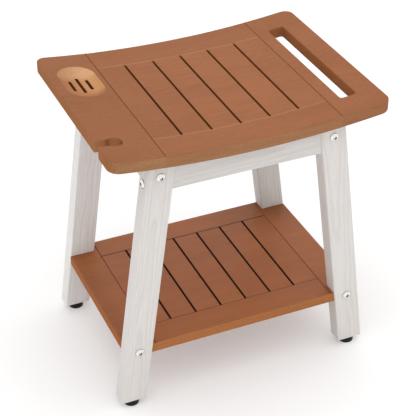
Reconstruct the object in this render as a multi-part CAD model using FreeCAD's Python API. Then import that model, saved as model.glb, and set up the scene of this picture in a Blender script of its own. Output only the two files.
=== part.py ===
"""Shower bench with a saddle seat, splayed legs, a slatted shelf and levelling feet.

Millimetres. +X runs along the seat, +Y from front to back, +Z up.
The origin is on the floor, under the middle of the seat.
"""
import FreeCAD, Part
import math
import os

from FreeCAD import Vector

# Seat
SEAT_LENGTH = 424.0
SEAT_DEPTH = 326.5
SEAT_HEIGHT = 450.0
SEAT_DROP = 14.0
SEAT_THICKNESS = 18.3
SEAT_CORNER_RADIUS = 16.0
SEAT_EDGE_ROUND = 2.0
SEAT_END_WIDTH = 79.3
SEAT_FRONT_RAIL_WIDTH = 48.7
SEAT_BACK_RAIL_WIDTH = 54.7
SEAT_SLAT_COUNT = 6
SEAT_SLAT_GAP = 3.0
SEAT_OUTER_SLAT_EXTRA = 0.4

# Handle slot in the right end board
HANDLE_LENGTH = 236.0
HANDLE_WIDTH = 24.7
HANDLE_CORNER_RADIUS = 4.0
HANDLE_INSET = 33.5

# Soap dish in the left end board
DISH_LENGTH = 98.0
DISH_WIDTH = 57.0
DISH_DEPTH = 7.0
DISH_WALL_REACH = 20.0
DISH_INSET = 14.6
DISH_BACK_INSET = 40.0
DRAIN_WIDTH = 5.0
DRAIN_PITCH = 13.0
DRAIN_MIDDLE_LENGTH = 47.0
DRAIN_SIDE_LENGTH = 32.0

# Keyhole notch in the left end board
KEYHOLE_RADIUS = 11.5
KEYHOLE_INSET = 27.0
KEYHOLE_FRONT_INSET = 55.1
KEYHOLE_NECK_WIDTH = 17.8
KEYHOLE_MOUTH_ROUND = 2.5

# Legs
LEG_WIDTH = 40.8
LEG_THICKNESS = 25.8
LEG_SPLAY = 7.66
LEG_FLOOR_INSET = 5.35
SEAT_OVERHANG = 20.95
LEG_EDGE_ROUND = 2.0
LEG_TOP_CHAMFER = 14.0

# Aprons and side rails under the seat
APRON_DROP = 77.7
APRON_THICKNESS = 18.0
APRON_RECESS = 2.0
APRON_EDGE_ROUND = 1.5
SIDE_RAIL_THICKNESS = 18.0

# Shelf
SHELF_TOP = 109.6
SHELF_THICKNESS = 16.3
SHELF_RECESS = 2.6
SHELF_END_MARGIN = 4.9
SHELF_RAIL_WIDTH = 43.2
SHELF_EDGE_ROUND = 1.2
SHELF_SLAT_COUNT = 7
SHELF_SLAT_GAP = 3.0
SHELF_OUTER_SLAT_EXTRA = 2.1
SHELF_NOTCH_CLEARANCE = 0.25

# Joints between boards
TONGUE_LENGTH = 8.0
TONGUE_THICKNESS = 6.0
TONGUE_SHOULDER = 4.0
TONGUE_CLEARANCE = 0.15
BOARD_JOINT_GAP = 0.1
SEAM_GROOVE = 0.9
SLAT_CHAMFER = 0.6
UNDER_SEAT_CLEARANCE = 0.2

# Dowels
SEAT_DOWEL_RADIUS = 4.0
SEAT_DOWEL_LENGTH = 34.0
SEAT_DOWEL_SPACING = 22.0
SHELF_DOWEL_RADIUS = 3.0
SHELF_DOWEL_LENGTH = 30.0
SHELF_DOWEL_SPACING = 8.5
FRAME_DOWEL_RADIUS = 4.0
FRAME_DOWEL_LENGTH = 24.0
APRON_DOWEL_RISE = 34.0
SIDE_RAIL_DOWEL_RISE = 36.0
DOWEL_CLEARANCE = 0.1

# Bolts with barrel nuts
BOLT_RADIUS = 3.0
BOLT_HEAD_RADIUS = 6.5
BOLT_HEAD_HEIGHT = 3.8
BOLT_HEAD_RIM = 0.9
BOLT_SOCKET_ACROSS_FLATS = 5.0
BOLT_SOCKET_DEPTH = 2.4
BOLT_CLEARANCE = 0.25
BOLT_TIP = 6.0
BOLT_HOLE_END = 3.0
SPOT_FACE_MARGIN = 0.5
NUT_RADIUS = 5.0
NUT_LENGTH = 12.0
NUT_SETBACK = 22.0
NUT_CLEARANCE = 0.1
THREAD_CLEARANCE = 0.05
FACE_BOLT_RISE = 24.2
SIDE_BOLT_RISE = 12.4

# Screws from the aprons up into the seat
SCREW_RADIUS = 2.0
SCREW_HEAD_RADIUS = 4.0
SCREW_HEAD_HEIGHT = 2.5
SCREW_POCKET_DEPTH = 24.0
SCREW_BITE = 12.0
SCREW_SPACING = 60.0
SCREW_CLEARANCE = 0.3

# Levelling feet
PAD_RADIUS = 11.8
PAD_TOP_RADIUS = 10.4
PAD_HEIGHT = 11.5
PAD_BASE_HEIGHT = 6.0
PAD_CHAMFER = 0.8
STUD_RADIUS = 4.0
STUD_REACH = 30.0
STUD_FLANGE_RADIUS = 7.5
STUD_FLANGE_HEIGHT = 3.0
STUD_FLANGE_LIFT = 2.5
STUD_CLEARANCE = 0.06
STUD_HOLE_CLEARANCE = 0.25
STUD_HOLE_END = 4.0
INSERT_RADIUS = 6.0
INSERT_LENGTH = 18.0
INSERT_CLEARANCE = 0.1

# How far a cutting shape runs past the wood that it cuts
OVERRUN = 20.0

# Lengths below this count as nothing
TINY = 0.001

X_AXIS = Vector(1, 0, 0)
Y_AXIS = Vector(0, 1, 0)
Z_AXIS = Vector(0, 0, 1)
ORIGIN = Vector(0, 0, 0)

# Sizes that follow from the ones above
SEAT_HALF_LENGTH = SEAT_LENGTH / 2
SEAT_HALF_DEPTH = SEAT_DEPTH / 2
SEAT_RADIUS = (SEAT_HALF_LENGTH ** 2 + SEAT_DROP ** 2) / (2 * SEAT_DROP)
SEAT_CURVE_CENTRE_Z = SEAT_HEIGHT - SEAT_DROP + SEAT_RADIUS
SEAT_SEAM_X = SEAT_HALF_LENGTH - SEAT_END_WIDTH
SEAT_FRONT_RAIL_INNER_Y = -SEAT_HALF_DEPTH + SEAT_FRONT_RAIL_WIDTH
SEAT_BACK_RAIL_INNER_Y = SEAT_HALF_DEPTH - SEAT_BACK_RAIL_WIDTH
DISH_WALL_RADIUS = (DISH_WALL_REACH ** 2 + DISH_DEPTH ** 2) / (2 * DISH_DEPTH)
LEG_SLOPE = math.tan(math.radians(LEG_SPLAY))
LEG_OUTER_AT_FLOOR = SEAT_HALF_LENGTH - LEG_FLOOR_INSET
LEG_OUTER_Y = SEAT_HALF_DEPTH - SEAT_OVERHANG
LEG_INNER_Y = LEG_OUTER_Y - LEG_THICKNESS
LEG_MIDDLE_Y = LEG_OUTER_Y - LEG_THICKNESS / 2
APRON_BOTTOM = SEAT_HEIGHT - APRON_DROP
APRON_OUTER_Y = LEG_OUTER_Y - APRON_RECESS
APRON_INNER_Y = APRON_OUTER_Y - APRON_THICKNESS
APRON_MIDDLE_Y = APRON_OUTER_Y - APRON_THICKNESS / 2
SHELF_BOTTOM = SHELF_TOP - SHELF_THICKNESS
SHELF_MIDDLE_Z = SHELF_TOP - SHELF_THICKNESS / 2
SHELF_HALF_DEPTH = LEG_OUTER_Y - SHELF_RECESS
SHELF_RAIL_INNER_Y = SHELF_HALF_DEPTH - SHELF_RAIL_WIDTH
FACE_BOLT_Z = APRON_BOTTOM + FACE_BOLT_RISE
SIDE_BOLT_Z = APRON_BOTTOM + SIDE_BOLT_RISE


def box(low, high):
    """A box between two opposite corners."""
    size = Vector(*high) - Vector(*low)
    return Part.makeBox(size.x, size.y, size.z, Vector(*low))


def rod(radius, start, end):
    """A round bar between two points."""
    along = end - start
    return Part.makeCylinder(radius, along.Length, start, along)


def prism_along_y(points, y_low, y_high):
    """A straight prism with an outline in X and Z."""
    outline = [Vector(x, y_low, z) for x, z in points]
    face = Part.Face(Part.makePolygon(outline + outline[:1]))
    return face.extrude(Vector(0, y_high - y_low, 0))


def is_upright(edge):
    """Whether an edge runs straight up."""
    return edge.BoundBox.XLength + edge.BoundBox.YLength < TINY


def upright_edges(shape):
    """The edges of a shape that run straight up."""
    return [edge for edge in shape.Edges if is_upright(edge)]


def rounded_prism(length_x, length_y, radius, z_low, z_high):
    """An upright prism about the Z axis, with a rounded rectangle for its outline."""
    half_x = length_x / 2
    half_y = length_y / 2
    block = box((-half_x, -half_y, z_low), (half_x, half_y, z_high))
    return block.makeFillet(radius, upright_edges(block))


def oval_prism(width, length, z_low, z_high):
    """An upright prism about the Z axis, long in Y, with half circles for its ends."""
    half = width / 2
    straight = length / 2 - half
    shape = box((-half, -straight, z_low), (half, straight, z_high))
    for end in (-straight, straight):
        shape = shape.fuse(rod(half, Vector(0, end, z_low), Vector(0, end, z_high)))
    return shape.removeSplitter()


def cut_all(shape, tools):
    """A shape with every tool cut out of it."""
    for tool in tools:
        shape = shape.cut(tool)
    return shape


def seat_top_z(x, below=0.0):
    """Height of the saddle surface at x, or of the one that lies parallel to it, further down."""
    return SEAT_CURVE_CENTRE_Z - math.sqrt((SEAT_RADIUS + below) ** 2 - x ** 2)


def saddle_slab(below_top, below_bottom, half_length, y_low, y_high):
    """A curved slab between two surfaces parallel to the top of the seat."""
    edges = []
    corners = []
    for below in (below_top, below_bottom):
        left = Vector(-half_length, y_low, seat_top_z(-half_length, below))
        middle = Vector(0, y_low, seat_top_z(0, below))
        right = Vector(half_length, y_low, seat_top_z(half_length, below))
        edges.append(Part.Arc(left, middle, right).toShape())
        corners.append((left, right))
    edges.append(Part.LineSegment(corners[0][0], corners[1][0]).toShape())
    edges.append(Part.LineSegment(corners[0][1], corners[1][1]).toShape())
    face = Part.Face(Part.Wire(Part.__sortEdges__(edges)))
    return face.extrude(Vector(0, y_high - y_low, 0))


def leg_outer_x(z):
    """Outer face of a right leg at height z."""
    return LEG_OUTER_AT_FLOOR - LEG_SLOPE * z


def leg_inner_x(z):
    """Inner face of a right leg at height z."""
    return leg_outer_x(z) - LEG_WIDTH


def leg_middle_x(z):
    """Middle of a right leg at height z."""
    return leg_outer_x(z) - LEG_WIDTH / 2


def leaning_bar(inset, width, y_low, y_high, z_low, z_high):
    """A bar that leans with the right legs, starting inset from their outer face."""
    points = [
        (leg_outer_x(z_low) - inset, z_low),
        (leg_outer_x(z_high) - inset, z_high),
        (leg_outer_x(z_high) - inset - width, z_high),
        (leg_outer_x(z_low) - inset - width, z_low),
    ]
    return prism_along_y(points, y_low, y_high)


def four_ways(shape):
    """A front right shape and its mirror images, keyed by corner."""
    front_left = shape.mirror(ORIGIN, X_AXIS)
    return {
        "front_left": front_left,
        "front_right": shape,
        "back_left": front_left.mirror(ORIGIN, Y_AXIS),
        "back_right": shape.mirror(ORIGIN, Y_AXIS),
    }


def four(shape):
    """A front right shape with its three mirror images, as one group."""
    return Part.makeCompound(list(four_ways(shape).values()))


def slat_edges(seam_x, count, gap, outer_extra):
    """Left and right edge of each slat between the two seams, the two outer slats a little wider."""
    width = (2 * seam_x - (count - 1) * gap - 2 * outer_extra) / count
    widths = [width + outer_extra] + [width] * (count - 2) + [width + outer_extra]
    edges = []
    left = -seam_x
    for slat_width in widths:
        edges.append((left, left + slat_width))
        left += slat_width + gap
    return edges


def tongue_spans(edges, dowel_length):
    """Left and right edge of each slat's tongue, clear of the dowels at the two seams."""
    spans = [[left + TONGUE_SHOULDER, right - TONGUE_SHOULDER] for left, right in edges]
    spans[0][0] += dowel_length / 2
    spans[-1][1] -= dowel_length / 2
    return spans


def groove_tool(x, depth, surface_z, half_depth):
    """A V-shaped tool along Y that opens a groove of the given depth at x."""
    points = [
        (x, surface_z - depth),
        (x + depth + OVERRUN, surface_z + OVERRUN),
        (x - depth - OVERRUN, surface_z + OVERRUN),
    ]
    return prism_along_y(points, -half_depth - OVERRUN, half_depth + OVERRUN)


def slat_bevels(edges, seam_x, gap, surface, half_depth):
    """Tools that ease the long top edges of the slats and open the seams at the end boards."""
    tools = [groove_tool(side * seam_x, SEAM_GROOVE, surface(seam_x), half_depth) for side in (-1, 1)]
    for left, _ in edges[1:]:
        middle = left - gap / 2
        tools.append(groove_tool(middle, gap / 2 + SLAT_CHAMFER, surface(middle), half_depth))
    return tools


# Bolted joints: a domed bolt that pulls on a barrel nut set across the end of a rail

def domed_bolt(length):
    """A bolt along Z with its head above the origin and its shank below."""
    dome = BOLT_HEAD_HEIGHT - BOLT_HEAD_RIM
    dome_radius = (BOLT_HEAD_RADIUS ** 2 + dome ** 2) / (2 * dome)
    head = Part.makeCylinder(BOLT_HEAD_RADIUS, BOLT_HEAD_HEIGHT)
    head = head.common(Part.makeSphere(dome_radius, Vector(0, 0, BOLT_HEAD_HEIGHT - dome_radius)))
    corner = BOLT_SOCKET_ACROSS_FLATS / math.sqrt(3)
    turns = [math.radians(60 * i) for i in range(7)]
    hexagon = [Vector(corner * math.cos(turn), corner * math.sin(turn), 0) for turn in turns]
    socket = Part.Face(Part.makePolygon(hexagon)).extrude(Vector(0, 0, OVERRUN))
    socket.translate(Vector(0, 0, BOLT_HEAD_HEIGHT - BOLT_SOCKET_DEPTH))
    shank = Part.makeCylinder(BOLT_RADIUS, length, ORIGIN, -Z_AXIS)
    return head.cut(socket).fuse(shank).removeSplitter()


class BoltedJoint:
    """One bolt and its barrel nut, with the holes that they need."""

    def __init__(self, head_seat, outward, grip, nut_mouth, mouth_distance):
        reach = grip + NUT_SETBACK
        nut_middle = head_seat - outward * reach
        tip = nut_middle - outward * BOLT_TIP
        self.bolt = domed_bolt(reach + BOLT_TIP)
        self.bolt.Placement = FreeCAD.Placement(head_seat, FreeCAD.Rotation(Z_AXIS, outward))
        self.bolt_hole = rod(
            BOLT_RADIUS + BOLT_CLEARANCE, head_seat + outward * OVERRUN, tip - outward * BOLT_HOLE_END
        )
        spot_radius = BOLT_HEAD_RADIUS + SPOT_FACE_MARGIN
        self.spot_face = rod(spot_radius, head_seat, head_seat + outward * OVERRUN)
        nut_end = nut_middle - nut_mouth * (NUT_LENGTH / 2)
        nut_start = nut_middle + nut_mouth * (NUT_LENGTH / 2)
        cross_hole = rod(
            BOLT_RADIUS + THREAD_CLEARANCE, nut_middle - outward * OVERRUN, nut_middle + outward * OVERRUN
        )
        self.nut = rod(NUT_RADIUS, nut_end, nut_start).cut(cross_hole)
        self.nut_hole = rod(
            NUT_RADIUS + NUT_CLEARANCE, nut_end, nut_middle + nut_mouth * (mouth_distance + OVERRUN)
        )


def face_joint():
    """Front right leg to side rail, along Y."""
    seat = Vector(leg_middle_x(FACE_BOLT_Z), -LEG_OUTER_Y, FACE_BOLT_Z)
    return BoltedJoint(seat, -Y_AXIS, LEG_THICKNESS, -X_AXIS, SIDE_RAIL_THICKNESS / 2)


def side_joint():
    """Front right leg to front apron, along X, on a flat cut square into the leaning face."""
    seat_x = leg_outer_x(SIDE_BOLT_Z + BOLT_HEAD_RADIUS + SPOT_FACE_MARGIN)
    seat = Vector(seat_x, -LEG_MIDDLE_Y, SIDE_BOLT_Z)
    grip = seat_x - leg_inner_x(SIDE_BOLT_Z)
    return BoltedJoint(seat, X_AXIS, grip, Y_AXIS, LEG_MIDDLE_Y - APRON_INNER_Y)


def shelf_joint():
    """Front right leg to the right end board of the shelf, along Y."""
    seat = Vector(leg_middle_x(SHELF_MIDDLE_Z), -LEG_OUTER_Y, SHELF_MIDDLE_Z)
    return BoltedJoint(seat, -Y_AXIS, LEG_THICKNESS, -Z_AXIS, SHELF_THICKNESS / 2)


FACE_JOINT = face_joint()
SIDE_JOINT = side_joint()
SHELF_JOINT = shelf_joint()


# Dowels, front right ones first

def seat_dowel_lines():
    """Ends of the two dowels between the front rail and the right end board."""
    middle_y = -SEAT_HALF_DEPTH + SEAT_FRONT_RAIL_WIDTH / 2
    z = seat_top_z(SEAT_SEAM_X, SEAT_THICKNESS / 2)
    half = SEAT_DOWEL_LENGTH / 2
    ys = [middle_y - SEAT_DOWEL_SPACING / 2, middle_y + SEAT_DOWEL_SPACING / 2]
    return [(Vector(SEAT_SEAM_X - half, y, z), Vector(SEAT_SEAM_X + half, y, z)) for y in ys]


def shelf_seam_x():
    """Seam between the shelf's rails and its right end board, a little inside the legs."""
    return leg_inner_x(SHELF_TOP) - SHELF_END_MARGIN


def shelf_dowel_lines():
    """Ends of the two dowels between the shelf's front rail and right end board, behind the leg."""
    middle_y = -(LEG_INNER_Y + SHELF_RAIL_INNER_Y) / 2
    half = SHELF_DOWEL_LENGTH / 2
    seam = shelf_seam_x()
    ys = [middle_y - SHELF_DOWEL_SPACING / 2, middle_y + SHELF_DOWEL_SPACING / 2]
    return [(Vector(seam - half, y, SHELF_MIDDLE_Z), Vector(seam + half, y, SHELF_MIDDLE_Z)) for y in ys]


def frame_dowel_lines():
    """Ends of the dowels from the front right leg into the front apron and the right side rail."""
    half = FRAME_DOWEL_LENGTH / 2
    apron_z = APRON_BOTTOM + APRON_DOWEL_RISE
    apron_x = leg_inner_x(apron_z)
    rail_z = APRON_BOTTOM + SIDE_RAIL_DOWEL_RISE
    rail_x = leg_middle_x(rail_z)
    return [
        (Vector(apron_x - half, -APRON_MIDDLE_Y, apron_z), Vector(apron_x + half, -APRON_MIDDLE_Y, apron_z)),
        (Vector(rail_x, -LEG_INNER_Y - half, rail_z), Vector(rail_x, -LEG_INNER_Y + half, rail_z)),
    ]


def dowels(radius, lines):
    """The dowels along the front right lines, as one shape."""
    return Part.makeCompound([rod(radius, start, end) for start, end in lines])


def dowel_holes(radius, lines):
    """The holes for all four corners' dowels."""
    return four(dowels(radius + DOWEL_CLEARANCE, lines)).Solids


def frame_dowel_holes():
    """The holes for the dowels in the front right leg."""
    return dowels(FRAME_DOWEL_RADIUS + DOWEL_CLEARANCE, frame_dowel_lines()).Solids


# Seat

def handle_tool():
    """The long hand slot through the right end board."""
    low = SEAT_HEIGHT - SEAT_DROP - SEAT_THICKNESS - OVERRUN
    slot = rounded_prism(HANDLE_WIDTH, HANDLE_LENGTH, HANDLE_CORNER_RADIUS, low, SEAT_HEIGHT + OVERRUN)
    slot.translate(Vector(SEAT_HALF_LENGTH - HANDLE_INSET - HANDLE_WIDTH / 2, 0, 0))
    return slot


def seat_blank():
    """The whole seat as one saddle board with its slot and rounded edges, before it is cut into pieces."""
    slab = saddle_slab(0, SEAT_THICKNESS, SEAT_HALF_LENGTH, -SEAT_HALF_DEPTH, SEAT_HALF_DEPTH)
    blank = slab.makeFillet(SEAT_CORNER_RADIUS, upright_edges(slab)).cut(handle_tool())
    rim = [edge for edge in blank.Edges if not is_upright(edge)]
    return blank.makeFillet(SEAT_EDGE_ROUND, rim)


def seat_zone(x_low, x_high, y_low, y_high):
    """The part of the seat's space between the given sides."""
    low = (x_low, y_low, SEAT_HEIGHT - SEAT_DROP - SEAT_THICKNESS - OVERRUN)
    return box(low, (x_high, y_high, SEAT_HEIGHT + OVERRUN))


def soap_dish_tool():
    """The shallow bowl and its three drain slots, square to the seat where they lie."""
    middle_x = -SEAT_HALF_LENGTH + DISH_INSET + DISH_WIDTH / 2
    middle_y = SEAT_HALF_DEPTH - DISH_BACK_INSET - DISH_LENGTH / 2
    # The wall is an arc that would end further out, above the seat, so the tool is wider than the dish there.
    spread = 2 * (DISH_WALL_RADIUS - DISH_WALL_REACH)
    recess = oval_prism(DISH_WIDTH + spread, DISH_LENGTH + spread, -DISH_DEPTH, DISH_WALL_RADIUS)
    floor_edges = [edge for edge in recess.Edges if edge.BoundBox.ZMax < 0]
    tool = recess.makeFillet(DISH_WALL_RADIUS, floor_edges)
    drain_bottom = -SEAT_THICKNESS - OVERRUN
    drain_lengths = (DRAIN_SIDE_LENGTH, DRAIN_MIDDLE_LENGTH, DRAIN_SIDE_LENGTH)
    for place, length in zip((-1, 0, 1), drain_lengths):
        drain = oval_prism(DRAIN_WIDTH, length, drain_bottom, 0)
        drain.translate(Vector(place * DRAIN_PITCH, 0, 0))
        tool = tool.fuse(drain)
    tilt = math.degrees(math.asin(-middle_x / SEAT_RADIUS))
    tool.rotate(ORIGIN, Y_AXIS, tilt)
    tool.translate(Vector(middle_x, middle_y, seat_top_z(middle_x)))
    return tool


def keyhole_tool():
    """The round hole with a neck that opens through the seat's left edge."""
    edge_x = -SEAT_HALF_LENGTH
    middle_x = edge_x + KEYHOLE_INSET
    middle_y = -SEAT_HALF_DEPTH + KEYHOLE_FRONT_INSET
    neck = KEYHOLE_NECK_WIDTH / 2
    mouth = KEYHOLE_MOUTH_ROUND
    arc_dip = mouth * (1 - math.sqrt(0.5))
    z = SEAT_HEIGHT - SEAT_DROP - SEAT_THICKNESS - OVERRUN
    edges = []
    ends = []
    for side in (-1, 1):
        outside = Vector(edge_x - OVERRUN, middle_y + side * (neck + mouth), z)
        arc_start = Vector(edge_x, middle_y + side * (neck + mouth), z)
        arc_middle = Vector(edge_x + arc_dip, middle_y + side * (neck + arc_dip), z)
        arc_end = Vector(edge_x + mouth, middle_y + side * neck, z)
        inside = Vector(middle_x, middle_y + side * neck, z)
        edges.append(Part.LineSegment(outside, arc_start).toShape())
        edges.append(Part.Arc(arc_start, arc_middle, arc_end).toShape())
        edges.append(Part.LineSegment(arc_end, inside).toShape())
        ends.append((outside, inside))
    edges.append(Part.LineSegment(ends[0][0], ends[1][0]).toShape())
    edges.append(Part.LineSegment(ends[0][1], ends[1][1]).toShape())
    face = Part.Face(Part.Wire(Part.__sortEdges__(edges)))
    height = SEAT_HEIGHT + OVERRUN - z
    hole = Part.makeCylinder(KEYHOLE_RADIUS, height, Vector(middle_x, middle_y, z))
    return face.extrude(Vector(0, 0, height)).fuse(hole)


def seat_tongue(left, right, clearance):
    """The thin ends of a seat slat, or the groove for them with some clearance."""
    middle = SEAT_THICKNESS / 2
    half = TONGUE_THICKNESS / 2 + clearance
    front = SEAT_FRONT_RAIL_INNER_Y - TONGUE_LENGTH - clearance
    back = SEAT_BACK_RAIL_INNER_Y + TONGUE_LENGTH + clearance
    slab = saddle_slab(middle - half, middle + half, SEAT_HALF_LENGTH, front, back)
    return slab.common(seat_zone(left, right, -SEAT_HALF_DEPTH, SEAT_HALF_DEPTH))


def screw_places():
    """X of each screw that holds the seat on an apron."""
    return (-SCREW_SPACING, 0, SCREW_SPACING)


def seat_screw(x):
    """A screw in the front apron, its head in a pocket cut from below."""
    head_z = APRON_BOTTOM + SCREW_POCKET_DEPTH
    tip_z = seat_top_z(x, SEAT_THICKNESS) + SCREW_BITE
    head = rod(SCREW_HEAD_RADIUS, Vector(x, -APRON_MIDDLE_Y, head_z - SCREW_HEAD_HEIGHT),
               Vector(x, -APRON_MIDDLE_Y, head_z))
    shank = rod(SCREW_RADIUS, Vector(x, -APRON_MIDDLE_Y, head_z), Vector(x, -APRON_MIDDLE_Y, tip_z))
    return head.fuse(shank)


def seat_screw_holes(x):
    """The pocket and the hole for one screw in the front apron, with its pilot in the seat."""
    head_z = APRON_BOTTOM + SCREW_POCKET_DEPTH
    tip_z = seat_top_z(x, SEAT_THICKNESS) + SCREW_BITE
    middle = -APRON_MIDDLE_Y
    pocket = rod(SCREW_HEAD_RADIUS + SCREW_CLEARANCE, Vector(x, middle, APRON_BOTTOM - OVERRUN),
                 Vector(x, middle, head_z))
    hole = rod(SCREW_RADIUS + SCREW_CLEARANCE, Vector(x, middle, APRON_BOTTOM),
               Vector(x, middle, seat_top_z(x, SEAT_THICKNESS)))
    pilot = rod(SCREW_RADIUS + THREAD_CLEARANCE, Vector(x, middle, APRON_BOTTOM), Vector(x, middle, tip_z))
    return pocket, hole, pilot


def make_seat():
    """Two end boards, two rails and the slats, with the dowels that join them."""
    blank = seat_blank()
    edges = slat_edges(SEAT_SEAM_X, SEAT_SLAT_COUNT, SEAT_SLAT_GAP, SEAT_OUTER_SLAT_EXTRA)
    bevels = slat_bevels(edges, SEAT_SEAM_X, SEAT_SLAT_GAP, seat_top_z, SEAT_HALF_DEPTH)
    seams = bevels[:2]
    lines = seat_dowel_lines()
    holes = dowel_holes(SEAT_DOWEL_RADIUS, lines)
    far = SEAT_HALF_LENGTH + OVERRUN
    deep = SEAT_HALF_DEPTH + OVERRUN
    parts = {}

    left = blank.common(seat_zone(-far, -SEAT_SEAM_X, -deep, deep))
    parts["seat_end_board_left"] = cut_all(left, [soap_dish_tool(), keyhole_tool()] + seams + holes)
    right = blank.common(seat_zone(SEAT_SEAM_X, far, -deep, deep))
    parts["seat_end_board_right"] = cut_all(right, seams + holes)

    spans = tongue_spans(edges, SEAT_DOWEL_LENGTH)
    groove_left = spans[0][0] - TONGUE_CLEARANCE
    groove_right = spans[-1][1] + TONGUE_CLEARANCE
    groove = seat_tongue(groove_left, groove_right, TONGUE_CLEARANCE)
    pilots = [seat_screw_holes(x)[2] for x in screw_places()]
    front = blank.common(seat_zone(-SEAT_SEAM_X, SEAT_SEAM_X, -deep, SEAT_FRONT_RAIL_INNER_Y))
    parts["seat_front_rail"] = cut_all(front, [groove] + seams + holes + pilots)
    pilots = [pilot.mirror(ORIGIN, Y_AXIS) for pilot in pilots]
    back = blank.common(seat_zone(-SEAT_SEAM_X, SEAT_SEAM_X, SEAT_BACK_RAIL_INNER_Y, deep))
    parts["seat_back_rail"] = cut_all(back, [groove] + seams + holes + pilots)

    front_end = SEAT_FRONT_RAIL_INNER_Y + BOARD_JOINT_GAP
    back_end = SEAT_BACK_RAIL_INNER_Y - BOARD_JOINT_GAP
    for number, (slat, tongue) in enumerate(zip(edges, spans), 1):
        body = blank.common(seat_zone(slat[0], slat[1], front_end, back_end))
        ends = seat_tongue(tongue[0], tongue[1], 0)
        parts["seat_slat_%d" % number] = cut_all(body, bevels).fuse(ends).removeSplitter()

    parts["seat_dowels"] = four(dowels(SEAT_DOWEL_RADIUS, lines))
    return parts


# Frame under the seat

def under_seat():
    """The space below the seat that the legs, aprons and side rails fill up to."""
    far = SEAT_HALF_LENGTH + OVERRUN
    deep = SEAT_HALF_DEPTH + OVERRUN
    return saddle_slab(SEAT_THICKNESS + UNDER_SEAT_CLEARANCE, SEAT_HEIGHT + OVERRUN, far, -deep, deep)


def foot_axis():
    """Middle of the front right foot on the floor."""
    return Vector(leg_middle_x(PAD_HEIGHT), -LEG_MIDDLE_Y, 0)


def insert_hole():
    """The stepped hole in the foot of the front right leg."""
    axis = foot_axis()
    bottom = axis + Z_AXIS * (PAD_HEIGHT - OVERRUN)
    wide = rod(INSERT_RADIUS + INSERT_CLEARANCE, bottom, axis + Z_AXIS * (PAD_HEIGHT + INSERT_LENGTH))
    deep_end = axis + Z_AXIS * (PAD_HEIGHT + STUD_REACH + STUD_HOLE_END)
    return wide.fuse(rod(STUD_RADIUS + STUD_HOLE_CLEARANCE, bottom, deep_end))


def make_legs(limit):
    """The four splayed legs, drilled for their bolts, dowels and feet."""
    bar = leaning_bar(0, LEG_WIDTH, -LEG_OUTER_Y, -LEG_INNER_Y, PAD_HEIGHT - OVERRUN, SEAT_HEIGHT)
    long_edges = [edge for edge in bar.Edges if edge.Length > SEAT_HEIGHT - PAD_HEIGHT]
    bar = bar.makeFillet(LEG_EDGE_ROUND, long_edges)
    floor = box(
        (0, -LEG_OUTER_Y - OVERRUN, PAD_HEIGHT), (LEG_OUTER_AT_FLOOR + OVERRUN, 0, SEAT_HEIGHT + OVERRUN)
    )
    leg = bar.common(floor).common(limit)
    shoulder_z = seat_top_z(leg_outer_x(SEAT_HEIGHT), SEAT_THICKNESS) - LEG_TOP_CHAMFER
    shoulder_x = leg_outer_x(shoulder_z)
    corner = [
        (shoulder_x + OVERRUN, shoulder_z - OVERRUN),
        (shoulder_x + OVERRUN, SEAT_HEIGHT),
        (shoulder_x - SEAT_HEIGHT + shoulder_z, SEAT_HEIGHT),
    ]
    leg = leg.cut(prism_along_y(corner, -LEG_OUTER_Y - OVERRUN, 0))
    bolt_holes = [FACE_JOINT.bolt_hole, SIDE_JOINT.bolt_hole, SIDE_JOINT.spot_face, SHELF_JOINT.bolt_hole]
    leg = cut_all(leg, bolt_holes + frame_dowel_holes() + [insert_hole()])
    return {"leg_" + corner: shape for corner, shape in four_ways(leg).items()}


def make_aprons(limit):
    """Front and back aprons, cut to the lean of the legs at their ends."""
    far = LEG_OUTER_AT_FLOOR
    block = box((-far, -APRON_OUTER_Y, APRON_BOTTOM), (far, -APRON_INNER_Y, SEAT_HEIGHT))
    long_edges = [
        edge for edge in block.Edges
        if edge.BoundBox.XLength > far and edge.BoundBox.ZMax < APRON_BOTTOM + APRON_EDGE_ROUND
    ]
    block = block.makeFillet(APRON_EDGE_ROUND, long_edges)
    between = [
        (-leg_inner_x(0), 0), (leg_inner_x(0), 0),
        (leg_inner_x(SEAT_HEIGHT), SEAT_HEIGHT), (-leg_inner_x(SEAT_HEIGHT), SEAT_HEIGHT),
    ]
    apron = block.common(prism_along_y(between, -LEG_OUTER_Y, 0)).common(limit)
    tools = []
    for x in screw_places():
        pocket, hole, _ = seat_screw_holes(x)
        tools += [pocket, hole]
    for tool in [SIDE_JOINT.bolt_hole, SIDE_JOINT.nut_hole] + frame_dowel_holes():
        tools += [tool, tool.mirror(ORIGIN, X_AXIS)]
    apron = cut_all(apron, tools)
    return {"apron_front": apron, "apron_back": apron.mirror(ORIGIN, Y_AXIS)}


def make_side_rails(limit):
    """The rails from front leg to back leg, leaning with them."""
    inset = (LEG_WIDTH - SIDE_RAIL_THICKNESS) / 2
    rail = leaning_bar(inset, SIDE_RAIL_THICKNESS, -LEG_INNER_Y, LEG_INNER_Y, APRON_BOTTOM, SEAT_HEIGHT)
    long_edges = [
        edge for edge in rail.Edges
        if edge.BoundBox.YLength > LEG_INNER_Y and edge.BoundBox.ZMax < APRON_BOTTOM + APRON_EDGE_ROUND
    ]
    rail = rail.makeFillet(APRON_EDGE_ROUND, long_edges).common(limit)
    tools = []
    for tool in [FACE_JOINT.bolt_hole, FACE_JOINT.nut_hole] + frame_dowel_holes():
        tools += [tool, tool.mirror(ORIGIN, Y_AXIS)]
    rail = cut_all(rail, tools)
    return {"side_rail_right": rail, "side_rail_left": rail.mirror(ORIGIN, X_AXIS)}


# Shelf

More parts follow.
